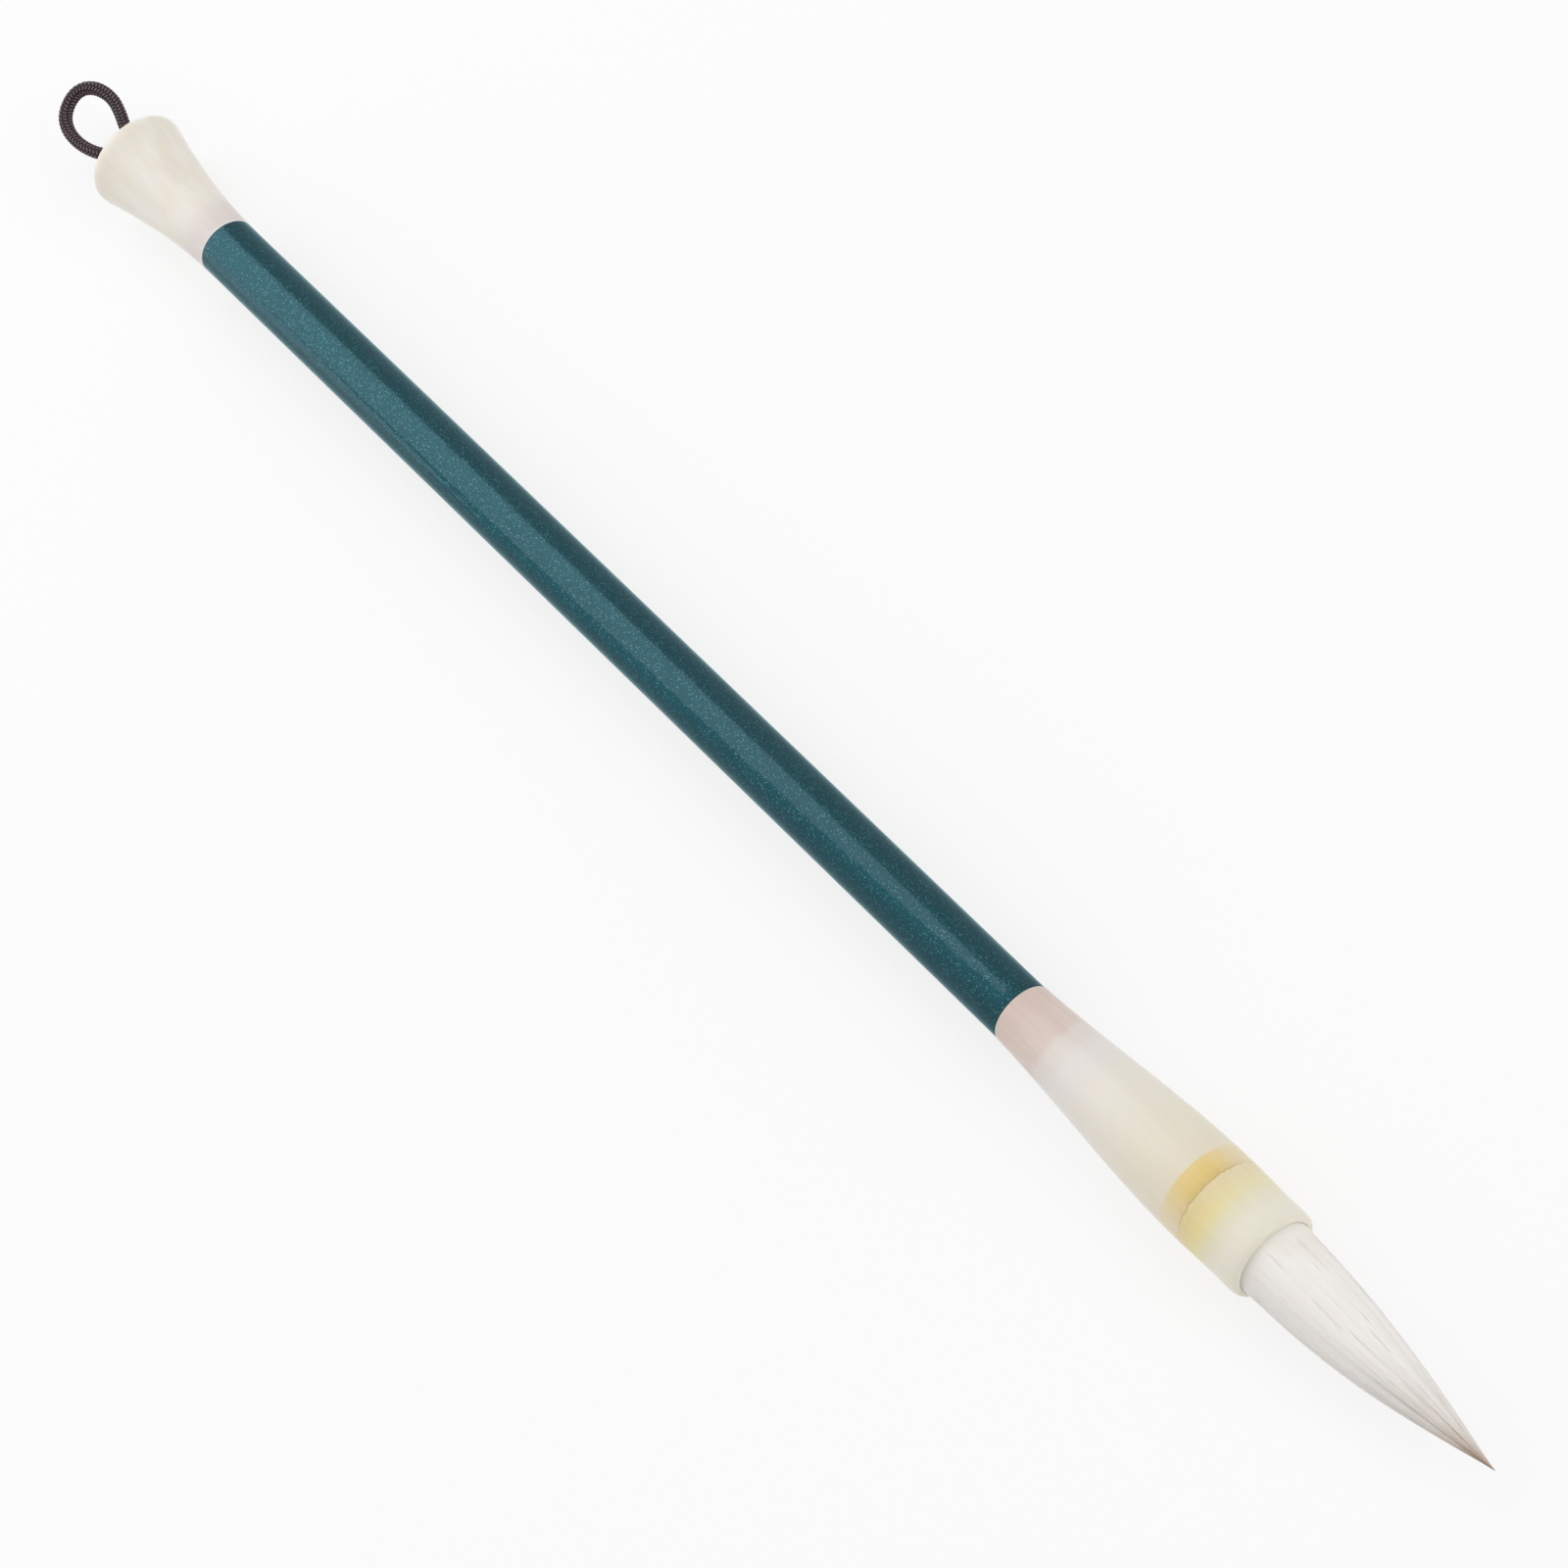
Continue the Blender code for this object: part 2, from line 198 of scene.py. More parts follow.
# %% Route of the cord
CORD_DIAMETER = 0.0019
TAIL_OFFSET = 0.00125  # each tail's distance from the axis inside the cap
TAIL_DEPTH = 0.0113  # from the cap's end face to inside the knot
NARROW_SIDE = [
    (0.00130, 0.00125), (0.00230, 0.00138), (0.00360, 0.00170), (0.00560, 0.00232), (0.00800, 0.00322),
    (0.01040, 0.00380), (0.01280, 0.00372), (0.01480, 0.00306), (0.01600, 0.00205), (0.01645, 0.00100),
]
FULL_SIDE = [
    (0.00130, -0.00125), (0.00230, -0.00150), (0.00360, -0.00222), (0.00560, -0.00330),
    (0.00800, -0.00402), (0.01040, -0.00425), (0.01280, -0.00392), (0.01480, -0.00290),
    (0.01600, -0.00135), (0.01645, 0.00000),
]
STITCH = 0.00062  # length of one stitch of the braid
RINGS_PER_STITCH = 8

tail = np.array([(-out, TAIL_OFFSET) for out in np.linspace(TAIL_DEPTH, 0, 5)])
both = np.vstack([tail, NARROW_SIDE, FULL_SIDE[::-1], tail[::-1] * (1, -1)])
route = np.stack([tail_end - both[:, 0], both[:, 1], np.full(len(both), axis_height)], 1)
cord_line = smooth_through(route, STITCH / RINGS_PER_STITCH)

# %% [markdown]
# ## The braid
#
# A round braid shows columns of slanted stitches, and neighbouring columns slant opposite ways, so
# they meet in small arrowheads.  It could be made by winding eight real strands over and under, but
# then hundreds of crossings have to be kept apart.  Here one tube is pushed in and out instead: each
# place on it knows which column it is in, how far across that column, and how far along its stitch.

# %% Braid a tube along the route
BRAID_COLUMNS = 8
SIDES_PER_COLUMN = 8
STITCH_SLANT = 0.55  # stitches that a stitch climbs from one side of its column to the other
STITCH_FLATNESS, STITCH_TAPER = 6, 1.5  # powers of the pillow, across and along a stitch
BRAID_DEPTH = 0.0002
BEND_SWELL = 0.12  # how much the braid spreads where it turns round at the loop's end
BEND_REACH = 0.006


def braided_tube(name, line):
    """A braid round a level line: centre + radius * (side * cos a + up * sin a).

    The radius falls from its full size by the depth times one minus the relief.  The relief is a
    pillow, the root of (1 - across^6) * (1 - |along|^1.5), with both measured from a stitch's middle.
    It also grows by the swell times exp(-(d / reach)^2), where d is the distance from the far end.
    """
    heading = np.gradient(line, axis=0)
    heading /= np.linalg.norm(heading, axis=1, keepdims=True)
    up = np.array([0.0, 0.0, 1.0])
    sideways = np.cross(up, heading)
    walked = np.arange(len(line))[:, None] / RINGS_PER_STITCH
    sides = BRAID_COLUMNS * SIDES_PER_COLUMN
    column = (np.arange(sides) + 0.5) / SIDES_PER_COLUMN
    odd = np.floor(column) % 2
    across = 2 * (column % 1) - 1
    along = 2 * ((walked + (odd - 0.5) * STITCH_SLANT * across + odd / 2) % 1) - 1
    relief = np.sqrt((1 - across**STITCH_FLATNESS) * (1 - np.abs(along) ** STITCH_TAPER))
    far = line[:, :1] - line[:, 0].min()
    swollen = 1 + BEND_SWELL * np.exp(-((far / BEND_REACH) ** 2))
    radius = CORD_DIAMETER / 2 * swollen - BRAID_DEPTH * (1 - relief)
    angle = 2 * np.pi * column / BRAID_COLUMNS
    spoke = sideways[:, None] * np.cos(angle)[:, None] + up * np.sin(angle)[:, None]
    rings = line[:, None] + radius[..., None] * spoke
    return skin(name, rings, {"relief": relief})


cord = braided_tube("braided_loop", cord_line)
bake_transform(cord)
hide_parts("hanging_loop", "loop_tail_left", "loop_tail_right")
print(f"{len(cord.data.polygons)} faces in the braid")

# %% [markdown]
# ## Reading the outline of a turned solid
#
# Shaft, ferrule and cap were turned on a lathe, so one outline says all about each of them.  The
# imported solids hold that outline: the corners of the faces that look away from the axis give the
# outside, and those that look towards it give the bore.

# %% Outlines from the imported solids
FACETS = 32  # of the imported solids
ENDWAYS = 0.1  # a face that looks less than this away from the axis, or towards it, is an end face
CORNER_POINTS = 5
NEARLY_STRAIGHT = -0.9  # cosine between the ways back and onward, below which a place is no corner
SHARP_EDGE = math.radians(40)
TURNED_SIDES = 160


def outline_of(node, outward=True):
    """The (x, radius) corners of a turned node's outside or bore, in order of x.

    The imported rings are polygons.  The radius is that of the circle inside them, which lies on the
    floor where the polygon does.
    """
    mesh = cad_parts[node].data
    places, normals = np.empty(len(mesh.vertices) * 3), np.empty(len(mesh.polygons) * 3)
    corners = np.empty(len(mesh.loops), int)
    mesh.vertices.foreach_get("co", places)
    mesh.polygons.foreach_get("normal", normals)
    mesh.loops.foreach_get("vertex_index", corners)
    places = places.reshape(-1, 3) - (0, 0, axis_height)
    centre = places[corners.reshape(-1, 3)].mean(1)
    spoke = centre[:, 1:] / np.linalg.norm(centre[:, 1:], axis=1, keepdims=True)
    facing = (normals.reshape(-1, 3)[:, 1:] * spoke).sum(1)
    wanted = facing > ENDWAYS if outward else facing < -ENDWAYS
    chosen = places[corners.reshape(-1, 3)[wanted].ravel()]
    radius = np.hypot(chosen[:, 1], chosen[:, 2]) * math.cos(math.pi / FACETS)
    found = np.unique(np.round(np.stack([chosen[:, 0], radius], 1), 5), axis=0)
    rising = np.where(found[:, 0] < found[:, 0].mean(), 1, -1)
    return found[np.lexsort((found[:, 1] * rising, found[:, 0]))]


def soften(outline, size):
    """The outline with its sharp corners rounded.

    A corner becomes five points of the parabola from a size before it to a size after it.
    """
    before, after = (np.roll(outline, shift, 0) - outline for shift in (1, -1))
    long = [np.maximum(np.linalg.norm(d, axis=1, keepdims=True), 1e-9) for d in (before, after)]
    before, after = before / long[0], after / long[1]
    sharp = (before * after).sum(1) > NEARLY_STRAIGHT
    t = np.linspace(0, 1, CORNER_POINTS)[None, :, None]
    reach = np.minimum(size, np.minimum(*long) / 2)
    bent = (1 - t) ** 2 * (before * reach)[:, None] + t**2 * (after * reach)[:, None]
    kept = sharp[:, None] | (np.arange(CORNER_POINTS) == 0)
    return (outline[:, None] + np.where(sharp[:, None, None], bent, 0))[kept]


def turn(name, outline, outside, sleeve=False, start=0.0):
    """A turned piece: (x, r * cos a, r * sin a) for every outline point and every angle.

    Each point remembers its distance from the start and the direction (cos a, sin a) in which it
    looks, shortened by its share of the outside radius.  So a grain can run along the piece with no
    seam anywhere, and an end face shows the grain cut across.
    """
    angle = np.arange(TURNED_SIDES) * 2 * np.pi / TURNED_SIDES
    x, r = outline[:, :1], outline[:, 1:]
    depth = np.minimum(r / np.interp(x, outside[:, 0], outside[:, 1]), 1)
    along = np.broadcast_to(x - start, (len(outline), TURNED_SIDES))
    cos, sin = np.cos(angle), np.sin(angle)
    rings = np.stack([x + 0 * angle, r * cos, axis_height + r * sin], -1)
    piece = skin(name, rings, {"lathe": np.stack([along, depth * cos, depth * sin], -1)}, sleeve)
    piece.data.set_sharp_from_angle(angle=SHARP_EDGE)
    return piece


for node in ("handle_shaft", "ferrule", "tail_cap"):
    print(node, "outside in mm:", (outline_of(node) * 1000).round(2).tolist()[:4], "...")

# %% [markdown]
# ## Shaft, ferrule and cap
#
# The shaft is a plain stick with a tenon at each end.  The ferrule swells slowly to a belly near its
# mouth and ends in a rounded rim; its bore and its socket are blind.  The cap flares like a trumpet
# and has a hole right through, so it is the one sleeve.  Curved stretches are redrawn finely, and
# the corners that a turner would break with a touch of sandpaper are softened.

# %% Turn the three pieces
LACQUER_EDGE = 0.00012
HORN_EDGE = 0.00014
OUTLINE_STEP = 0.00045
SHAFT_STEP = 0.0015
SHAFT_MARGIN = 0.001  # from each seam to the shaft's first plain ring
SAME_STATION = 1e-4  # corners closer than this along the axis are at one station
BARREL_SLACK = 2e-4  # corners this close to the widest radius belong to the shaft's side
BLIND_END = 0.3  # radius of the first ring on a blind bore's floor, as a share of the bore's


def meet(outline, found, wanted):
    """The outline with one station moved, so that two pieces touch where glue has closed the gap."""
    moved = outline.copy()
    moved[np.abs(moved[:, 0] - found) < SAME_STATION, 0] = wanted
    return moved


shaft_outline = outline_of("handle_shaft")
widest = shaft_outline[:, 1].max()
barrel = shaft_outline[shaft_outline[:, 1] > widest - BARREL_SLACK]
for end, seam in ((barrel[0], rear_seam), (barrel[-1], front_seam)):
    shaft_outline = meet(shaft_outline, end[0], seam)
rear, front = (shaft_outline[pick] for pick in (shaft_outline[:, 0] < 0, shaft_outline[:, 0] > 0))
middle = np.arange(rear_seam + SHAFT_MARGIN, front_seam - SHAFT_MARGIN, SHAFT_STEP)
stick = np.vstack([rear, np.stack([middle, np.full_like(middle, widest)], 1), front])
shaft = turn("lacquered_shaft", soften(stick, LACQUER_EDGE)[1:-1], stick, start=rear_seam)

bores = outline_of("ferrule", outward=False)[::-1]
in_front = bores[:, 0] > (front_seam + mouth) / 2
socket, bore = bores[in_front], bores[~in_front]
belly = smooth_through(outline_of("ferrule"), OUTLINE_STEP)
to_middle = (1, BLIND_END)
cup = np.vstack([bore[:1] * to_middle, bore, belly, socket, socket[-1:] * to_middle])
ferrule = turn("horn_ferrule", soften(cup, HORN_EDGE)[1:-1], belly, start=front_seam)

flare = smooth_through(outline_of("tail_cap"), OUTLINE_STEP)
trumpet = np.vstack([flare, outline_of("tail_cap", outward=False)[::-1]])
cap = turn("horn_cap", soften(trumpet, HORN_EDGE), flare, sleeve=True, start=rear_seam)
for piece, node, slot in (
    (shaft, "handle_shaft", "teal_lacquer"), (ferrule, "ferrule", "ferrule_horn"),
    (cap, "tail_cap", "cap_horn"),
):
    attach(piece, "brush")
    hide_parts(node)
    print(f"{piece.name}: {len(piece.data.polygons)} faces")

# %% [markdown]
# ## The tuft
#
# Sized goat hair dries to a full, pointed shape.  Its surface is smooth, because the hairs lie side by
# side: it has fine comb marks, broad soft locks, a few clefts where locks part, and clumps near the
# point.  All hairs start at the mouth and meet at the point, so each of these keeps its angle round
# the axis while the tuft gets thinner.  Locks and comb marks are waves that go a whole number of times
# round, so they meet themselves exactly.

# %% The shape of the tuft
TUFT_FULLNESS = 1.19  # power of the parabola that the hair tapers by
COMB_DEPTH = 0.000007
LOCK_DEPTH = 0.000030
CLUMP_SHARE = 0.10  # depth of the gaps between clumps near the point, as a share of the radius
reach = point - mouth
root_outline = outline_of("tuft_cover")
root_outline = root_outline[root_outline[:, 0] <= mouth + 1e-5]
tuft_radius = root_outline[-1, 1]
SNUG = 0.000005  # between the hair and the socket's wall at the mouth
SNUG_REACH = 0.003  # how far the hair swells on both sides of the mouth
TUFT_BOW = -0.0002  # how far its middle lies beside the axis, as hair does that dried on its side
swell = socket[:, 1].min() - SNUG - tuft_radius
print(f"the hair swells by {swell * 1000:.2f} mm to fill the mouth")
WAVE_PACE = 6  # how fast a wave may sway along the hair, in radians from mouth to point
dice = np.random.default_rng(11)


def waves(angle, share, lowest, highest, count, drift):
    """A sum of cosines of the angle with random whole wave numbers, which drift slowly along the hair."""
    total = np.zeros(np.broadcast(angle, share).shape)
    for number in dice.integers(lowest, highest, count):
        phase, pace, swing = dice.random(3) * (2 * np.pi, WAVE_PACE, drift)
        total += np.cos(number * (angle + swing * np.sin(pace * share) / 4) + phase)
    return total / math.sqrt(count / 2)


def bow(share):
    """The sideways place of the tuft's middle: the bow times the sine of half a turn from root to point."""
    return TUFT_BOW * np.sin(np.pi * np.clip(share, 0, 1))


CLEFT_BEND = 0.05  # radians that a cleft wanders to either side
CLEFT_FADE = 0.04  # share of the reach over which a cleft opens, and closes
RIDGE_PLACE, RIDGE_HEIGHT = 1.8, 0.4  # of the ridge beside a cleft, in the cleft's widths and depths


def clefts(angle, share, radius, places, depth, width):
    """Narrow valleys: the depth times exp(-(d / width)^2), where d is the distance across the hair.

    A place is (angle in degrees, share where it opens, share where it closes).  On one side of each
    valley the hair that was pushed away makes a lower ridge.  Also returns how deep in a valley a
    point lies, from 0 to 1.
    """
    turned, opens, closes = (column[:, None, None] for column in np.array(places, float).T)
    bend = CLEFT_BEND * np.sin(9 * share + turned)
    gap = (angle - np.radians(turned) - bend + np.pi) % (2 * np.pi) - np.pi
    across = gap * radius / width
    window = np.clip((share - opens) / CLEFT_FADE, 0, 1) * np.clip((closes - share) / CLEFT_FADE, 0, 1)
    valley = (np.exp(-(across**2)) * window).max(0)
    ridge = (np.exp(-((across - RIDGE_PLACE) ** 2)) * window).max(0)
    return depth * (RIDGE_HEIGHT * ridge - valley), valley


def tuft_outline(share):
    """The tuft's radius at a share of its reach.

    Inside the socket it is the root's outline, and outside a parabola raised to a power.  Round the
    mouth a bump, (1 - t^2)^2 of the distance from the mouth, fills the socket to its wall.
    """
    inside = np.interp(mouth + reach * share, root_outline[:, 0], root_outline[:, 1])
    outside = tuft_radius * np.clip(1 - share**2, 0, 1) ** TUFT_FULLNESS
    bump = np.clip(1 - (share * reach / SNUG_REACH) ** 2, 0, 1) ** 2
    return np.where(share < 0, inside, outside) + swell * bump


TUFT_SIDES, TUFT_RINGS, ROOT_RINGS = 540, 150, 12
RING_CROWDING = 1.25  # power by which the rings crowd towards the point
COMB_WAVES = (40, 130, 30, 0.05)  # lowest and highest wave number, how many waves, and their drift
LOCK_WAVES = (9, 30, 16, 0.35)
CLUMP_WAVES = (3, 14, 12, 0.25)
CLUMP_TOP = 0.6  # the clumps are cut off above this, so that only the gaps between them are deep
RELIEF_FADE = 0.0012  # radius of the tuft below which all relief fades
LONG_CLEFTS = [(86, 0.37, 1.1), (104, 0.55, 1.1), (62, 0.80, 1.1), (97, 0.22, 0.40), (131, 0.55, 0.74)]
SHORT_CLEFTS = 36
CLEFT_DEPTH = 0.00006
CLEFT_WIDTH = 0.00009
tuft_angle = np.arange(TUFT_SIDES) * 2 * np.pi / TUFT_SIDES
root_share = (hair_root - mouth) / reach
share = np.concatenate([
    np.linspace(root_share, 0, ROOT_RINGS)[:-1], 1 - np.linspace(1, 0.02, TUFT_RINGS) ** RING_CROWDING,
])[:, None]
free = np.clip(share / 0.06, 0, 1)  # 0 at the mouth, and 1 where the hair is free to part
combed = np.clip(share / 0.02 + 1, 0, 1)
# The comb marks begin a little inside the mouth, sunk by 2.5 of their depths below its wall.
comb = (waves(tuft_angle, share, *COMB_WAVES) - 2.5 * (1 - free)) * combed
locks = waves(tuft_angle, share, *LOCK_WAVES) * free
clumps = np.minimum(waves(tuft_angle, share, *CLUMP_WAVES), CLUMP_TOP) * np.clip(share, 0, 1) ** 2
plain = tuft_outline(share)
opens = 0.03 + 0.75 * dice.random(SHORT_CLEFTS)
closes = opens + 0.05 + 0.12 * dice.random(SHORT_CLEFTS) ** 2
by_chance = np.stack([dice.random(SHORT_CLEFTS) * 360, opens, closes], 1).tolist()
parting, cleft = clefts(tuft_angle, share, plain, LONG_CLEFTS + by_chance, CLEFT_DEPTH, CLEFT_WIDTH)
thin = np.clip(plain / RELIEF_FADE, 0, 1)
relief = COMB_DEPTH * comb + LOCK_DEPTH * locks + parting
body_radius = plain * (1 + CLUMP_SHARE * clumps) + thin * relief
cos, sin = np.cos(tuft_angle) + 0 * share, np.sin(tuft_angle) + 0 * share
tuft_rings = np.stack([
    mouth + reach * share + 0 * cos, bow(share) + body_radius * cos, axis_height + body_radius * sin,
], -1)
marks = {"hair": np.stack([share + 0 * cos, cos, sin], -1), "cleft": cleft}
tuft = skin("tuft_body", tuft_rings, marks)
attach(tuft, "brush")
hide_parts("tuft_core", "tuft_cover")
print(f"tuft body {len(tuft.data.polygons)} faces, widest {body_radius.max() * 2000:.2f} mm")

# %% [markdown]
# ## Loose hairs
#
# A few hundred single hairs lie on the tuft.  Each is a thin three-sided tube with ten rings, so they
# stay light, and they are computed together: one array holds every ring of every hair.  A hair is
# half sunk in the tuft's surface, wanders a little to the side, and thins to nothing.

# %% Lay the loose hairs
HAIRS = 300
HAIR_RINGS, HAIR_SIDES = 10, 3
HAIR_THICKNESS = 0.00004
FROM_ROOT = 0.45  # share of the loose hairs that start inside the mouth
HAIR_WANDER = 0.05  # radians
HAIR_LIFT = 0.00004  # most that a hair's end stands off the tuft
HAIR_FADE = 0.0018  # radius of the tuft below which the hairs get thinner with it


def body_at(angle, share):
    """The radius of the grooved body at any angle and share, from its own grid."""
    row = np.interp(share, tuft_share, np.arange(len(tuft_share)))
    low = np.minimum(row.astype(int), len(tuft_share) - 2)
    column = (angle / (2 * np.pi) * TUFT_SIDES).round().astype(int) % TUFT_SIDES
    part = row - low
    return body_radius[low, column] * (1 - part) + body_radius[low + 1, column] * part


tuft_share = share[:, 0]
first = np.where(dice.random(HAIRS) < FROM_ROOT, -0.03, dice.random(HAIRS) * 0.7)
last = first + (1.0 - first) * (0.35 + 0.65 * dice.random(HAIRS) ** 0.6)
t = np.linspace(0, 1, HAIR_RINGS)
hair_share = first[:, None] + (last - first)[:, None] * t
wander = HAIR_WANDER * dice.standard_normal(HAIRS)[:, None]
wander = wander * np.sin(np.pi * t * dice.random((HAIRS, 1)) * 2)
hair_angle = dice.random(HAIRS)[:, None] * 2 * np.pi + wander
taper = np.sqrt(np.clip(1 - np.abs(2 * t - 0.9), 0.02, 1))
thick = HAIR_THICKNESS / 2 * (0.5 + 0.8 * dice.random(HAIRS)[:, None]) * taper
lift = HAIR_LIFT * dice.random(HAIRS)[:, None] ** 4 * t
thick = thick * np.clip(tuft_outline(hair_share) / HAIR_FADE, 0.12, 1)
place = body_at(hair_angle, hair_share) + lift * np.clip(1 - hair_share**4, 0, 1)
spin = np.arange(HAIR_SIDES) * 2 * np.pi / HAIR_SIDES
cos, sin = np.cos(hair_angle)[..., None], np.sin(hair_angle)[..., None]
out = place[..., None] + thick[..., None] * np.cos(spin)
over = thick[..., None] * np.sin(spin)
points = np.stack([
    mouth + reach * hair_share[..., None] + 0 * out,
    bow(hair_share)[..., None] + out * cos - over * sin,
    axis_height + out * sin + over * cos,
], -1)
ring = np.arange(HAIR_RINGS * HAIR_SIDES).reshape(HAIR_RINGS, HAIR_SIDES)
here, there = ring[:-1], ring[1:]
walls = np.stack([here, np.roll(here, -1, 1), np.roll(there, -1, 1), there], -1).reshape(-1, 4)
ends = np.stack([ring[0][::-1], ring[-1]])
offset = (np.arange(HAIRS) * HAIR_RINGS * HAIR_SIDES)[:, None, None]
faces = (walls + offset).reshape(-1, 4).tolist() + (ends + offset).reshape(-1, 3).tolist()
mesh = bpy.data.meshes.new("loose_hairs")
mesh.from_pydata(points.reshape(-1, 3).tolist(), [], faces)
mesh.shade_smooth()
remember(mesh, "hair", np.stack([hair_share[..., None] + 0 * out, cos + 0 * out, sin + 0 * out], -1))
shade = np.broadcast_to(dice.random(HAIRS)[:, None], (HAIRS, HAIR_RINGS * HAIR_SIDES))
remember(mesh, "shade", shade)
hairs = show("loose_hairs", mesh)
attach(hairs, "brush")
print(f"{HAIRS} hairs, {len(mesh.polygons)} faces")

# %% [markdown]
# ## Mixing finishes
#
# Every finish below is a small network of nodes.  A few helpers keep them short: `paint` writes a
# colour the way a colour picker shows it, `add` makes a node and plugs it in, `ramp` gives a colour
# for every number between two ends, and `cloud` gives a noise.

# %% Helpers for the finishes
def paint(red, green, blue):
    """A colour from a picker's 0 to 255, as the linear light that a shader takes."""
    picked = np.array([red, green, blue]) / 255
    linear = np.where(picked <= 0.04045, picked / 12.92, ((picked + 0.055) / 1.055) ** 2.4)
    return (*linear.tolist(), 1.0)


def add(tree, kind, values=(), links=(), **settings):
    """A node of that kind, with settings, input values and linked inputs."""
    made = tree.nodes.new("ShaderNode" + kind)
    for key, value in settings.items():
        setattr(made, key, value)
    for key, value in dict(values).items():
        made.inputs[key].default_value = value
    for key, socket in dict(links).items():
        tree.links.new(socket, made.inputs[key])
    return made


def ramp(tree, factor, stops, ease="EASE"):
    """The colour at a number from 0 to 1, from a list of (position, colour)."""
    made = add(tree, "ValToRGB", links={0: factor})
    made.color_ramp.interpolation = ease
    marks = made.color_ramp.elements
    for _ in stops[2:]:
        marks.new(0.5)
    for mark, (position, colour) in zip(marks, stops):
        mark.position = position
        mark.color = colour
    return made.outputs[0]


def plug(tree, made, inputs):
    """Fills a node's inputs from pairs of a number and a value; each value is a socket or a constant."""
    for index, value in inputs:
        if hasattr(value, "is_linked"):
            tree.links.new(value, made.inputs[index])
        else:
            made.inputs[index].default_value = value


def blend_paint(tree, factor, below, above):
    """One colour over another; each is a socket or a colour."""
    made = add(tree, "Mix", data_type="RGBA")
    plug(tree, made, ((0, factor), (6, below), (7, above)))
    return made.outputs[2]


def sum_up(tree, operation, *numbers):
    """Arithmetic on two or three numbers; each is a socket or a number."""
    made = add(tree, "Math", operation=operation)
    plug(tree, made, enumerate(numbers))
    return made.outputs[0]


def centred(tree, noise, swing):
    """A noise from 0 to 1, moved so that its middle lies at 0, times a swing."""
    return sum_up(tree, "MULTIPLY", sum_up(tree, "SUBTRACT", noise, 0.5), swing)


def between(tree, value, low, high, start=0.0, end=1.0):
    """A number carried from one range to another with a soft start and end, and held beyond them."""
    made = add(tree, "MapRange", interpolation_type="SMOOTHSTEP", links={"Value": value},
               values={"From Min": low, "From Max": high, "To Min": start, "To Max": end})
    return made.outputs[0]


def stretched(tree, vector, scale):
    """The same place with each of its three numbers scaled."""
    made = add(tree, "VectorMath", operation="MULTIPLY", links={0: vector})
    made.inputs[1].default_value = scale
    return made.outputs[0]


def cloud(tree, vector, scale, detail=2.0, rough=0.5):
    """A noise from 0 to 1."""
    made = add(tree, "TexNoise", links={"Vector": vector},
               values={"Scale": scale, "Detail": detail, "Roughness": rough})
    return made.outputs[0]


def new_finish(name, **values):
    """A material with the given shader values: its node tree and its shader."""
    material = bpy.data.materials.new(name)
    material.use_nodes = True
    shader = material.node_tree.nodes["Principled BSDF"]
    for key, value in values.items():
        shader.inputs[key.replace("_", " ")].default_value = value
    return material, material.node_tree, shader


def emboss(tree, shader, height, distance, socket="Normal"):
    """Relief from a height between 0 and 1, for the shader or its clear coat."""
    made = add(tree, "Bump", links={"Height": height}, values={"Distance": distance})
    tree.links.new(made.outputs[0], shader.inputs[socket])


def give(material, *names):
    """Puts a finish on objects, in place of what they had."""
    for name in names:
        data = bpy.data.objects[name].data
        data.materials.clear()
        data.materials.append(material)


print("helpers ready for the finishes")

# %% [markdown]
# ## Metallic teal lacquer
#
# The shaft is sprayed with teal paint full of fine metal flakes, under a clear coat.  The flakes are the
# cells of a Voronoi texture.  Each cell has three random numbers, and they tilt its flake: added to the
# direction in which the surface looks, they give that flake a mirror of its own, so the paint glitters
# along the edges of a reflection.  Here and there a larger flake lies near the surface: a second, coarser
# texture paints a bright dot, a painted glint, in the middle of some of its cells.  The clear coat has the
# faint waves of sprayed varnish.

# %% Teal lacquer
FLAKES_PER_METRE = 11000.0
FLAKE_TILT = 0.26
GLINTS_PER_METRE = 4600.0
MIST_SCALE = (90, 260, 260)  # of the slow changes in the paint's tone
VARNISH_SCALE = (220, 520, 520)  # of the waves in the clear coat
VARNISH_DEPTH = 0.00004

material, tree, shader = new_finish(
    "teal_lacquer_paint", Metallic=1.0, Specular_Tint=paint(96, 196, 204),
    Coat_Weight=0.45, Coat_Roughness=0.04,
)
here = add(tree, "TexCoord").outputs["Object"]
flake = add(tree, "TexVoronoi", links={"Vector": here}, values={"Scale": FLAKES_PER_METRE})
bright = add(tree, "SeparateColor", links={0: flake.outputs["Color"]}).outputs[0]
mist = cloud(tree, stretched(tree, here, MIST_SCALE), 1.0)
tone = sum_up(tree, "MULTIPLY_ADD", bright, 0.75, sum_up(tree, "MULTIPLY", mist, 0.25))
teal = ramp(tree, tone, [
    (0.0, paint(3, 51, 60)), (0.5, paint(6, 58, 67)), (1.0, paint(14, 72, 81)),
], "LINEAR")
# Painted glints: bright dots in the paint's colour, in the middle of some cells of a coarser texture.
large = add(tree, "TexVoronoi", links={"Vector": here}, values={"Scale": GLINTS_PER_METRE})
chance = add(tree, "SeparateColor", links={0: large.outputs["Color"]}).outputs[0]
glint = sum_up(tree, "MULTIPLY", between(tree, large.outputs["Distance"], 0.1, 0.5, 1.0, 0.0),
               between(tree, chance, 0.55, 0.95))
teal = blend_paint(tree, glint, teal, paint(86, 130, 136))
tree.links.new(teal, shader.inputs["Base Color"])
level = add(tree, "VectorMath", operation="SUBTRACT", links={0: flake.outputs["Color"]})
level.inputs[1].default_value = (0.5, 0.5, 0.5)
outward = add(tree, "NewGeometry").outputs["Normal"]
tilted = add(tree, "VectorMath", operation="MULTIPLY_ADD", links={0: level.outputs[0], 2: outward})
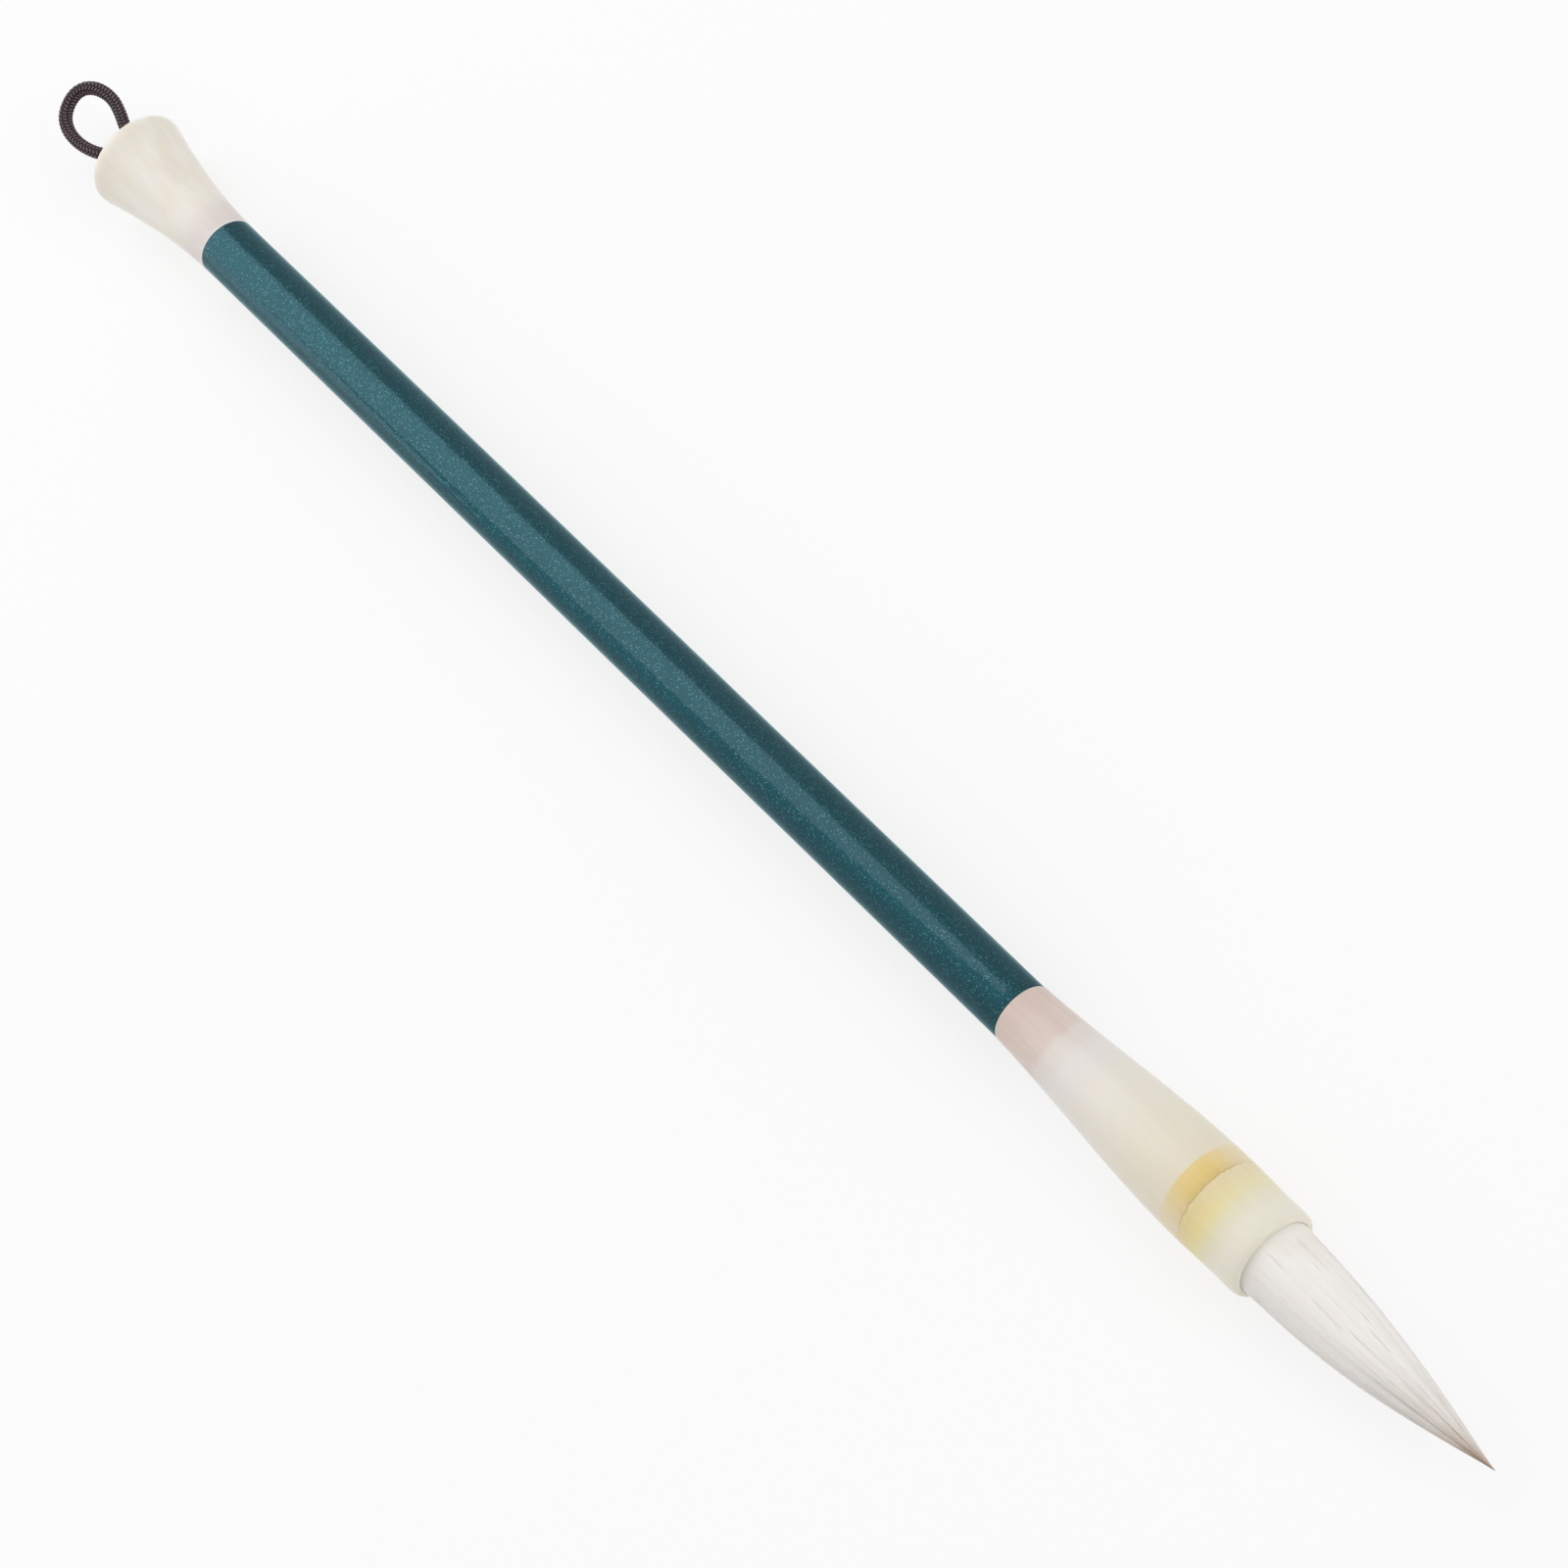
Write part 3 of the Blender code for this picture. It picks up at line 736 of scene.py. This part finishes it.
tilted.inputs[1].default_value = (FLAKE_TILT, FLAKE_TILT, FLAKE_TILT)
mirror = add(tree, "VectorMath", operation="NORMALIZE", links={0: tilted.outputs[0]})
tree.links.new(mirror.outputs[0], shader.inputs["Normal"])
varnish = cloud(tree, stretched(tree, here, VARNISH_SCALE), 1.0, 1.0)
emboss(tree, shader, varnish, VARNISH_DEPTH, "Coat Normal")
tree.links.new(between(tree, bright, 0.0, 1.0, 0.18, 0.3), shader.inputs["Roughness"])
give(material, "lacquered_shaft")
print("teal lacquer on the shaft")

# %% [markdown]
# ## Translucent horn
#
# Ferrule and cap are made of a milky, horn-coloured resin.  Light enters it and comes out again a
# millimetre away, which subsurface scattering does.  What lies inside shows through as soft zones of
# colour: the pinkish wood of the tenon, and in the ferrule the amber resin that holds the hair.
# These zones are painted by the distance from the seam, which each point of the piece remembers, and
# their edges are moved about by a noise.  A fine grain runs along the piece.

# %% Horn for the ferrule
MM = 0.001
GRAIN_SCALE = (35, 3, 3)
SCUFF_SCALE, SCUFF_DEPTH = (900, 22, 22), 0.000012
# Stretches over which the zones begin and end, from the front seam.
BAND_BEGINS, BAND_ENDS = (35.05 * MM, 35.5 * MM), (38.6 * MM, 38.95 * MM)
EDGE_BEGINS, EDGE_ENDS = (38.45 * MM, 38.65 * MM), (38.75 * MM, 38.95 * MM)
STAIN_BEGINS, STAIN_ENDS = (38.7 * MM, 38.9 * MM), (40.3 * MM, 46.4 * MM)
ZONE_SWING, JAG_SWING = 3.0 * MM, 0.9 * MM  # how far noise moves the edges of the zones
AMBER_LEAN = 0.07  # how far the band's fullest side leans towards +Y


def horn(name):
    """The common body of both horn finishes: the tree, the shader, the distance and the lathe mark."""
    material, tree, shader = new_finish(
        name, Roughness=0.34, Subsurface_Weight=0.22, Subsurface_Scale=0.0012, IOR=1.5)
    mark = add(tree, "Attribute", attribute_name="lathe").outputs["Vector"]
    along = add(tree, "SeparateXYZ", links={0: mark}).outputs[0]
    return material, tree, shader, mark, along


def grain_and_gloss(tree, shader, mark, colour):
    """Lengthwise streaks in the colour, and gloss that changes a little from place to place."""
    grain = cloud(tree, stretched(tree, mark, GRAIN_SCALE), 2.2, 5.0, 0.6)
    colour = blend_paint(tree, between(tree, grain, 0.3, 0.75, 0.0, 0.13), colour, paint(246, 243, 238))
    tree.links.new(colour, shader.inputs["Base Color"])
    scuff = cloud(tree, stretched(tree, mark, SCUFF_SCALE), 1.0, 4.0, 0.7)
    tree.links.new(between(tree, scuff, 0.25, 0.8, 0.28, 0.42), shader.inputs["Roughness"])
    emboss(tree, shader, scuff, SCUFF_DEPTH)


material, tree, shader, mark, along = horn("ferrule_horn_resin")
slow = cloud(tree, stretched(tree, mark, (40, 0.9, 0.9)), 1.6)
shifted = sum_up(tree, "ADD", along, centred(tree, slow, ZONE_SWING))
zone = sum_up(tree, "DIVIDE", shifted, mouth - front_seam)
colour = ramp(tree, zone, [
    (0.0, paint(210, 189, 178)), (0.155, paint(215, 197, 188)), (0.19, paint(222, 213, 206)),
    (0.27, paint(227, 222, 217)), (0.38, paint(230, 224, 212)), (0.60, paint(229, 222, 203)),
    (0.72, paint(229, 219, 197)), (1.0, paint(234, 229, 212)),
])
round_noise = cloud(tree, stretched(tree, mark, (0, 1, 1)), 1.1, 2.0)
jag = cloud(tree, stretched(tree, mark, (0, 9, 9)), 1.0, 4.0, 0.6)
jagged = sum_up(tree, "ADD", along, centred(tree, jag, JAG_SWING))
band = sum_up(tree, "MULTIPLY", between(tree, along, *BAND_BEGINS),
              between(tree, jagged, *BAND_ENDS, 1.0, 0.0))
across, upward = add(tree, "SeparateXYZ", links={0: mark}).outputs[1:]
# The band is strongest where the surface looks straight up or down.
leaning = sum_up(tree, "MULTIPLY", across, AMBER_LEAN)
level_share = sum_up(tree, "ADD", sum_up(tree, "ABSOLUTE", upward, 0.0), leaning)
flatness = sum_up(tree, "POWER", sum_up(tree, "MAXIMUM", level_share, 0.0), 3.0)
strength = sum_up(tree, "MULTIPLY", between(tree, flatness, 0.0, 1.0, 0.3, 1.0),
                  between(tree, round_noise, 0.3, 0.6, 0.9, 1.0))
amber = ramp(tree, between(tree, along, 35 * MM, 39 * MM), [
    (0.0, paint(230, 203, 124)), (0.6, paint(227, 197, 108)), (1.0, paint(216, 186, 100))])
colour = blend_paint(tree, sum_up(tree, "MULTIPLY", band, strength), colour, amber)
stain = sum_up(tree, "MULTIPLY", between(tree, jagged, *STAIN_BEGINS),
               between(tree, shifted, *STAIN_ENDS, 1.0, 0.0))
stain = sum_up(tree, "MULTIPLY", stain, between(tree, across, -0.9, 0.9, 1.0, 0.55))
stain_paint = ramp(tree, between(tree, along, 38.8 * MM, 45 * MM), [
    (0.0, paint(228, 207, 146)), (0.3, paint(231, 214, 146)), (0.55, paint(232, 219, 144)),
    (1.0, paint(229, 221, 166)),
])
colour = blend_paint(tree, stain, colour, stain_paint)
edge = sum_up(tree, "MULTIPLY", between(tree, jagged, *EDGE_BEGINS),
              between(tree, jagged, *EDGE_ENDS, 1.0, 0.0))
edge = sum_up(tree, "MULTIPLY", edge, between(tree, flatness, 0.0, 0.8, 0.25, 0.75))
colour = blend_paint(tree, edge, colour, paint(196, 168, 104))
grain_and_gloss(tree, shader, mark, colour)
give(material, "horn_ferrule")
print("horn with its amber band on the ferrule")

# %% Horn for the cap
material, tree, shader, mark, along = horn("cap_horn_resin")
blotch = cloud(tree, stretched(tree, mark, (120, 2.2, 2.2)), 1.0, 2.0)
colour = ramp(tree, blotch, [
    (0.25, paint(228, 220, 211)), (0.42, paint(231, 224, 210)), (0.55, paint(233, 228, 218)),
    (0.75, paint(237, 233, 227)),
])
slow = cloud(tree, stretched(tree, mark, (60, 1.2, 1.2)), 1.0)
near_seam = between(tree, sum_up(tree, "ADD", along, sum_up(tree, "MULTIPLY", slow, 4 * MM)),
                    -6 * MM, 1 * MM, 0.0, 0.85)
colour = blend_paint(tree, near_seam, colour, paint(213, 202, 199))
# A painted highlight: the cap's last tenth of a millimetre before the seam, on its softened edge, is
# painted near white.
painted_seam_highlight = between(tree, along, -0.22 * MM, -0.12 * MM, 0.0, 0.8)
colour = blend_paint(tree, painted_seam_highlight, colour, paint(250, 249, 247))
grain_and_gloss(tree, shader, mark, colour)
give(material, "horn_cap")
print("horn on the cap")

# %% [markdown]
# ## Hair
#
# The hair is nearly white and dull, with warm streaks that run from root to point.  Each point of the tuft
# remembers how far along the hair it is and at which angle, so a noise that changes quickly with the angle
# and slowly along the hair gives streaks that converge.  Towards the point the longer core hair shows,
# which is tan; the noise decides where each streak begins to turn.  The tuft's -Y side is painted a little
# greyer than the other side: this is painted shade.

# %% Goat hair
FINE_STREAKS, BROAD_STREAKS, HAIRLINES = (2.5, 26, 26), (1.6, 3.5, 3.5), (3, 70, 70)
HAIRLINE_DEPTH = 0.000012
TURN_SWING = 0.4  # share of the hair by which noise moves the place where a streak turns tan


def hair_finish(name, loose):
    """Hair for the tuft's body or for the loose hairs, which each have a shade of their own."""
    material, tree, shader = new_finish(name, Roughness=0.55, Subsurface_Weight=0.1,
                                        Subsurface_Scale=0.0006, Sheen_Weight=0.15, Sheen_Roughness=0.4)
    mark = add(tree, "Attribute", attribute_name="hair").outputs["Vector"]
    along, across = add(tree, "SeparateXYZ", links={0: mark}).outputs[:2]
    fine = cloud(tree, stretched(tree, mark, FINE_STREAKS), 1.0, 3.0, 0.6)
    broad = cloud(tree, stretched(tree, mark, BROAD_STREAKS), 1.0, 2.0)
    streak = sum_up(tree, "ADD", sum_up(tree, "MULTIPLY", fine, 0.5), sum_up(tree, "MULTIPLY", broad, 0.5))
    turning = sum_up(tree, "ADD", along, centred(tree, streak, TURN_SWING))
    turning = sum_up(tree, "SUBTRACT", turning, sum_up(tree, "MULTIPLY", across, 0.045))
    turning = sum_up(tree, "SUBTRACT", turning, between(tree, across, 0.1, 0.9, 0.0, 0.075))
    colour = ramp(tree, turning, [
        (0.0, paint(243, 237, 229)), (0.1, paint(246, 242, 238)), (0.45, paint(248, 244, 239)),
        (0.64, paint(241, 236, 231)), (0.77, paint(234, 227, 220)), (0.86, paint(217, 205, 196)),
        (0.93, paint(178, 158, 142)), (1.0, paint(138, 114, 80)),
    ])
    # Painted shade: the -Y side of the tuft is mixed towards a grey.
    painted_side_shade = between(tree, across, -0.9, 0.1, 0.15, 0.0)
    colour = blend_paint(tree, painted_side_shade, colour, paint(150, 138, 126))
    colour = blend_paint(tree, between(tree, fine, 0.5, 0.8, 0.0, 0.22), colour, paint(226, 217, 205))
    if not loose:
        # Painted shade: the hair is painted darker down in the clefts' valleys.
        cleft = add(tree, "Attribute", attribute_name="cleft").outputs["Fac"]
        colour = blend_paint(tree, between(tree, cleft, 0.2, 1.0, 0.0, 0.42), colour, paint(196, 180, 160))
    else:
        own = add(tree, "Attribute", attribute_name="shade").outputs["Fac"]
        colour = blend_paint(tree, between(tree, own, 0.55, 1.0, 0.0, 0.4), colour, paint(248, 247, 245))
        colour = blend_paint(tree, between(tree, own, 0.0, 0.1, 0.3, 0.0), colour, paint(190, 176, 158))
    tree.links.new(colour, shader.inputs["Base Color"])
    hairline = cloud(tree, stretched(tree, mark, HAIRLINES), 1.0, 2.0, 0.7)
    tree.links.new(between(tree, hairline, 0.2, 0.8, 0.45, 0.68), shader.inputs["Roughness"])
    emboss(tree, shader, hairline, HAIRLINE_DEPTH)
    return material


give(hair_finish("tuft_hair", False), "tuft_body")
give(hair_finish("loose_hair", True), "loose_hairs")
print("hair on the tuft")

# %% [markdown]
# ## Braided cord
#
# Dark brown silk with a purple cast.  The relief that pushed the tube in and out was kept at every point,
# so the valleys between stitches are painted darker than the stitches: painted shade.
# A fine noise stands for the threads inside a stitch.

# %% Dark braid
THREAD_DEPTH = 0.00003

material, tree, shader = new_finish("dark_braid", Roughness=0.7, Specular_IOR_Level=0.25, Sheen_Weight=0.1,
                                    Sheen_Roughness=0.5)
relief = add(tree, "Attribute", attribute_name="relief").outputs["Fac"]
here = add(tree, "TexCoord").outputs["Object"]
thread = cloud(tree, here, 9000.0, 2.0)
tint = cloud(tree, here, 450.0, 2.0)
# The stitch colour wanders between a darker and a lighter silk; its lighter patches are partly a painted
# highlight, where light catches some stitches more.
stitch = blend_paint(tree, tint, paint(92, 72, 83), paint(154, 125, 130))
# Painted shade: where the relief is low, in the valleys between stitches, the colour goes to near black.
lit = sum_up(tree, "MULTIPLY_ADD", thread, 0.35, sum_up(tree, "MULTIPLY", relief, 0.85))
colour = blend_paint(tree, between(tree, lit, 0.68, 1.15), paint(10, 8, 10), stitch)
tree.links.new(colour, shader.inputs["Base Color"])
tree.links.new(between(tree, thread, 0.2, 0.8, 0.55, 0.85), shader.inputs["Roughness"])
emboss(tree, shader, thread, THREAD_DEPTH)
give(material, "braided_loop", "loop_knot")
print("dark braid on the loop and its knot")

# %% [markdown]
# ## What is hidden in the ferrule
#
# The resin and the binding thread can't be seen on a whole brush, but they are there when someone
# takes it apart, so they get a finish too: clear amber with small clouds in it, and waxed thread with
# a twist.  They have no marks of their own, so their patterns follow the place in the object.

# %% Amber resin and waxed thread
CLOUD_DEPTH, TWIST_DEPTH = 0.00003, 0.00004

material, tree, shader = new_finish("cast_amber", Roughness=0.25, Subsurface_Weight=0.3,
                                    Subsurface_Scale=0.001)
here = add(tree, "TexCoord").outputs["Object"]
clouds = cloud(tree, here, 600.0, 3.0)
amber = ramp(tree, clouds, [(0.3, paint(206, 160, 84)), (0.7, paint(230, 196, 128))])
tree.links.new(amber, shader.inputs["Base Color"])
tree.links.new(between(tree, clouds, 0.3, 0.7, 0.2, 0.35), shader.inputs["Roughness"])
emboss(tree, shader, clouds, CLOUD_DEPTH)
give(material, "root_resin")

material, tree, shader = new_finish("waxed_thread", Roughness=0.75)
here = add(tree, "TexCoord").outputs["Object"]
twist = add(tree, "TexWave", links={"Vector": here}, bands_direction="DIAGONAL",
            values={"Scale": 900.0, "Distortion": 1.5, "Detail": 2.0}).outputs["Fac"]
tree.links.new(ramp(tree, twist, [(0.2, paint(176, 160, 132)), (0.8, paint(222, 212, 190))]),
               shader.inputs["Base Color"])
tree.links.new(between(tree, twist, 0.0, 1.0, 0.65, 0.85), shader.inputs["Roughness"])
emboss(tree, shader, twist, TWIST_DEPTH)
give(material, "root_binding")
print("amber resin and waxed thread inside")

# %% [markdown]
# ## Floor and light
#
# The brush lies on a plain pale floor.  Most of what the camera sees of the floor is its own light
# and the rest is lit by the lamps, so it stays white and still keeps a faint shadow.  The floor also
# has a slight polish, which only the brush's own gloss sees: in it the low lamp glints along the
# shaft's lower edge.
#
# A large oval softbox hangs beyond the brush, turned at an angle to it: its reflection becomes the
# light band along the shaft, which gets narrow towards the ferrule, and a small low lamp beside it
# makes the band broader at the tail.  A fill lamp stands on the tip's side, which the softbox leaves
# in shade.  The world lights the rest.  Together they light a colour at about the level at which it
# is written.

# %% Floor, lamps and world
FLOOR_SIZE = 16.0
SOFTBOX_PLACE = (-1.865, -0.705, 0.92)
SOFTBOX_SIZE = (3.61, 1.77)
SOFTBOX_TURN = math.radians(43.2)
SOFTBOX_POWER = 23.3
SIDE_PLACE = (-1.35, -1.26, 0.26)
SIDE_SIZE = (0.64, 0.92)
SIDE_POWER = 1.95
FILL_PLACE = (0.85, 0.55, 0.75)
FILL_SIZE = (0.7, 0.7)
FILL_POWER = 3.2
WORLD_FILL = 0.62
WHITE = (1, 1, 1, 1)
FLOOR_PAINT = (0.93, 0.93, 0.93, 1)
FLOOR_GLOW = 0.75  # share of the floor's own light in what the camera sees of it
FLOOR_POLISH = 0.15  # roughness of the polish
POLISH_INDEX = 1.5

mesh = bpy.data.meshes.new("floor")
half = FLOOR_SIZE / 2
corners = [(-half, -half, 0), (half, -half, 0), (half, half, 0), (-half, half, 0)]
mesh.from_pydata(corners, [], [(0, 1, 2, 3)])
floor = show("floor", mesh)
floor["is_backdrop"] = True


def seen_directly(tree):
    """1 for rays that the camera, a mirror or a glass sends, and 0 for the light that surfaces swap."""
    path = add(tree, "LightPath")
    shown = sum_up(tree, "MAXIMUM", path.outputs["Is Camera Ray"], path.outputs["Is Glossy Ray"])
    return sum_up(tree, "MAXIMUM", shown, path.outputs["Is Transmission Ray"])


material = bpy.data.materials.new("pale_floor")
material.use_nodes = True
tree = material.node_tree
tree.nodes.clear()
lit = add(tree, "BsdfDiffuse", values={"Color": FLOOR_PAINT})
glow = add(tree, "Emission", values={"Color": WHITE, "Strength": 1.0})
share_of_glow = sum_up(tree, "MULTIPLY", seen_directly(tree), FLOOR_GLOW)
mixed = add(tree, "MixShader", links={0: share_of_glow, 1: lit.outputs[0], 2: glow.outputs[0]})
polish = add(tree, "BsdfAnisotropic", values={"Color": WHITE, "Roughness": FLOOR_POLISH})
glancing = add(tree, "Fresnel", values={"IOR": POLISH_INDEX}).outputs[0]
in_mirror = sum_up(tree, "MULTIPLY", glancing, add(tree, "LightPath").outputs["Is Glossy Ray"])
polished = add(tree, "MixShader", links={0: in_mirror, 1: mixed.outputs[0], 2: polish.outputs[0]})
add(tree, "OutputMaterial", links={"Surface": polished.outputs[0]})
floor.data.materials.append(material)

world = bpy.data.worlds.new("studio")
bpy.context.scene.world = world
world.use_nodes = True
tree = world.node_tree
strength = between(tree, seen_directly(tree), 0.0, 1.0, WORLD_FILL, 1.0)
backdrop = tree.nodes["Background"]
backdrop.inputs["Color"].default_value = WHITE
tree.links.new(strength, backdrop.inputs["Strength"])


def hang_lamp(name, place, size, power, aim=None):
    """An oval area lamp that looks straight down, or at a point."""
    lamp = bpy.data.lights.new(name, "AREA")
    lamp.shape = "ELLIPSE"
    lamp.size, lamp.size_y = size
    lamp.energy = power
    hung = show(name, lamp)
    hung.location = place
    if aim:
        hung.rotation_mode = "QUATERNION"
        hung.rotation_quaternion = (aim - Vector(place)).to_track_quat("-Z", "Y")
    return hung


hang_lamp("softbox", SOFTBOX_PLACE, SOFTBOX_SIZE, SOFTBOX_POWER).rotation_euler.z = SOFTBOX_TURN
hang_lamp("side_lamp", SIDE_PLACE, SIDE_SIZE, SIDE_POWER, Vector((rear_seam, 0, axis_height)))
hang_lamp("fill_lamp", FILL_PLACE, FILL_SIZE, FILL_POWER, shaft_middle)
bpy.context.scene.view_settings.view_transform = "Standard"
print("floor, lamps and world are set")

# %% [markdown]
# ## Does it still fit?
#
# The finished brush should keep to the box of the plain solids, so both boxes are written down.  Only
# the loop, which lies a little askew, reaches 0.3 mm further.

# %% Compare the boxes and finish
dressed_box = [list(corner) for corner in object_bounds()]
for name, box in (("solids", cad_box), ("dressed", dressed_box)):
    print(name, [[round(v * 1000, 2) for v in corner] for corner in box], "mm")
